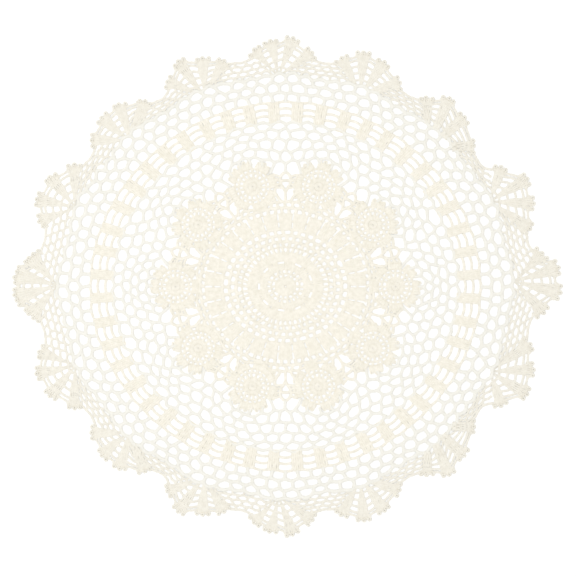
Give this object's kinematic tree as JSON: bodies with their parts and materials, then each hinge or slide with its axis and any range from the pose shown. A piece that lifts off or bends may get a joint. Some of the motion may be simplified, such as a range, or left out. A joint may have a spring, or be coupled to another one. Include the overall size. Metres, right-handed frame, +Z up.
{
  "type": "oval crochet tablecloth",
  "caption": "Flat oval openwork tablecloth crocheted in cream cotton, with rosettes, net rounds and a scalloped picot edge.",
  "frame": {"origin": "middle of the underside of the cloth's outline, on the surface that it lies on", "axes": "+Z up from the surface, +X along the cloth's length, +Y along its width"},
  "size_m": [0.6544, 0.5976, 0.002],
  "materials": {
    "cotton": "matte cream crochet cotton"
  },
  "bodies": {
    "root": {"crochet_cloth": "cotton"}
  },
  "joints": []
}
